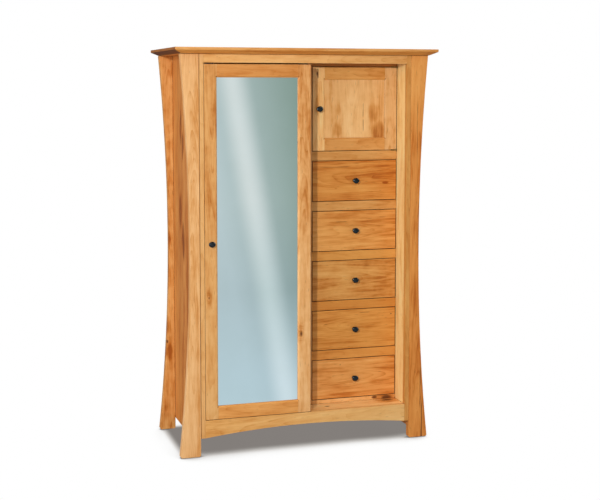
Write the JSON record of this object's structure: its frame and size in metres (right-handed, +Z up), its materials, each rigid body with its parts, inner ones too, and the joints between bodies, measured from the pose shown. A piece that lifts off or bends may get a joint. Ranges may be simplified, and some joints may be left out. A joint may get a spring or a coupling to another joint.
{
  "type": "chifforobe",
  "caption": "Wardrobe with a sliding mirror door over a recessed bay of drawers and a small cupboard, under a bevelled top, on flared full-height legs.",
  "frame": {"origin": "on the floor, under the middle of the top panel's footprint", "axes": "+Z up, +X to the right as seen from the front, +Y from the front to the back"},
  "size_m": [1.222, 0.572, 1.816],
  "materials": {
    "cherry": "clear satin on natural cherry",
    "cherry_panel": "clear satin on glued-up cherry panels",
    "inside_wood": "clear matt on pale inside wood",
    "mirror": "silvered glass",
    "dark_bronze": "dark bronze",
    "hinge_brass": "satin brass",
    "rod_chrome": "polished",
    "track_aluminium": "anodised",
    "nylon": "moulded"
  },
  "bodies": {
    "cabinet": {"top_panel": "cherry", "front_left_leg": "cherry", "front_right_leg": "cherry", "rear_left_leg": "cherry", "rear_right_leg": "cherry", "left_stile": "cherry", "right_stile": "cherry", "top_rail": "cherry", "bottom_rail": "cherry", "bay_top_rail": "cherry", "bay_rail_1": "cherry", "bay_rail_2": "cherry", "bay_rail_3": "cherry", "bay_rail_4": "cherry", "bay_rail_5": "cherry", "bay_floor_rail": "cherry", "left_side_panel": "cherry_panel", "right_side_panel": "cherry_panel", "partition": "cherry_panel", "bay_jamb": "cherry_panel", "case_bottom": "inside_wood", "back_panel": "inside_wood", "hat_shelf": "inside_wood", "hanger_track": "track_aluminium", "floor_guide": "nylon", "hanging_rod": "rod_chrome", "upper_hinge_frame_leaf": "hinge_brass", "lower_hinge_frame_leaf": "hinge_brass"},
    "mirror_door": {"mirror_door_left_stile": "cherry", "mirror_door_right_stile": "cherry", "mirror_door_top_rail": "cherry", "mirror_door_bottom_rail": "cherry", "mirror_glass": "mirror", "mirror_backing": "inside_wood", "mirror_door_knob": "dark_bronze", "mirror_door_left_hanger": "nylon", "mirror_door_right_hanger": "nylon"},
    "cupboard_door": {"cupboard_door_left_stile": "cherry", "cupboard_door_right_stile": "cherry", "cupboard_door_top_rail": "cherry", "cupboard_door_bottom_rail": "cherry", "cupboard_door_panel": "cherry_panel", "cupboard_door_knob": "dark_bronze", "upper_hinge_door_leaf": "hinge_brass", "lower_hinge_door_leaf": "hinge_brass"},
    "drawer_1": {"drawer_1_front": "cherry", "drawer_1_box": "inside_wood", "drawer_1_knob": "dark_bronze"},
    "drawer_2": {"drawer_2_front": "cherry", "drawer_2_box": "inside_wood", "drawer_2_knob": "dark_bronze"},
    "drawer_3": {"drawer_3_front": "cherry", "drawer_3_box": "inside_wood", "drawer_3_knob": "dark_bronze"},
    "drawer_4": {"drawer_4_front": "cherry", "drawer_4_box": "inside_wood", "drawer_4_knob": "dark_bronze"},
    "drawer_5": {"drawer_5_front": "cherry", "drawer_5_box": "inside_wood", "drawer_5_knob": "dark_bronze"}
  },
  "joints": [
    {"name": "mirror_door_slide", "type": "slide", "parent": "cabinet", "child": "mirror_door", "axis": [-1, 0, 0], "range_m": [-0.462, 0]},
    {"name": "cupboard_door_hinge", "type": "hinge", "parent": "cabinet", "child": "cupboard_door", "pos_m": [0.4705, -0.12, 1.544], "axis": [0, 0, 1], "range_deg": [0, 90]},
    {"name": "drawer_1_slide", "type": "slide", "parent": "cabinet", "child": "drawer_1", "axis": [0, -1, 0], "range_m": [0, 0.28]},
    {"name": "drawer_2_slide", "type": "slide", "parent": "cabinet", "child": "drawer_2", "axis": [0, -1, 0], "range_m": [0, 0.28]},
    {"name": "drawer_3_slide", "type": "slide", "parent": "cabinet", "child": "drawer_3", "axis": [0, -1, 0], "range_m": [0, 0.28]},
    {"name": "drawer_4_slide", "type": "slide", "parent": "cabinet", "child": "drawer_4", "axis": [0, -1, 0], "range_m": [0, 0.28]},
    {"name": "drawer_5_slide", "type": "slide", "parent": "cabinet", "child": "drawer_5", "axis": [0, -1, 0], "range_m": [0, 0.28]}
  ]
}
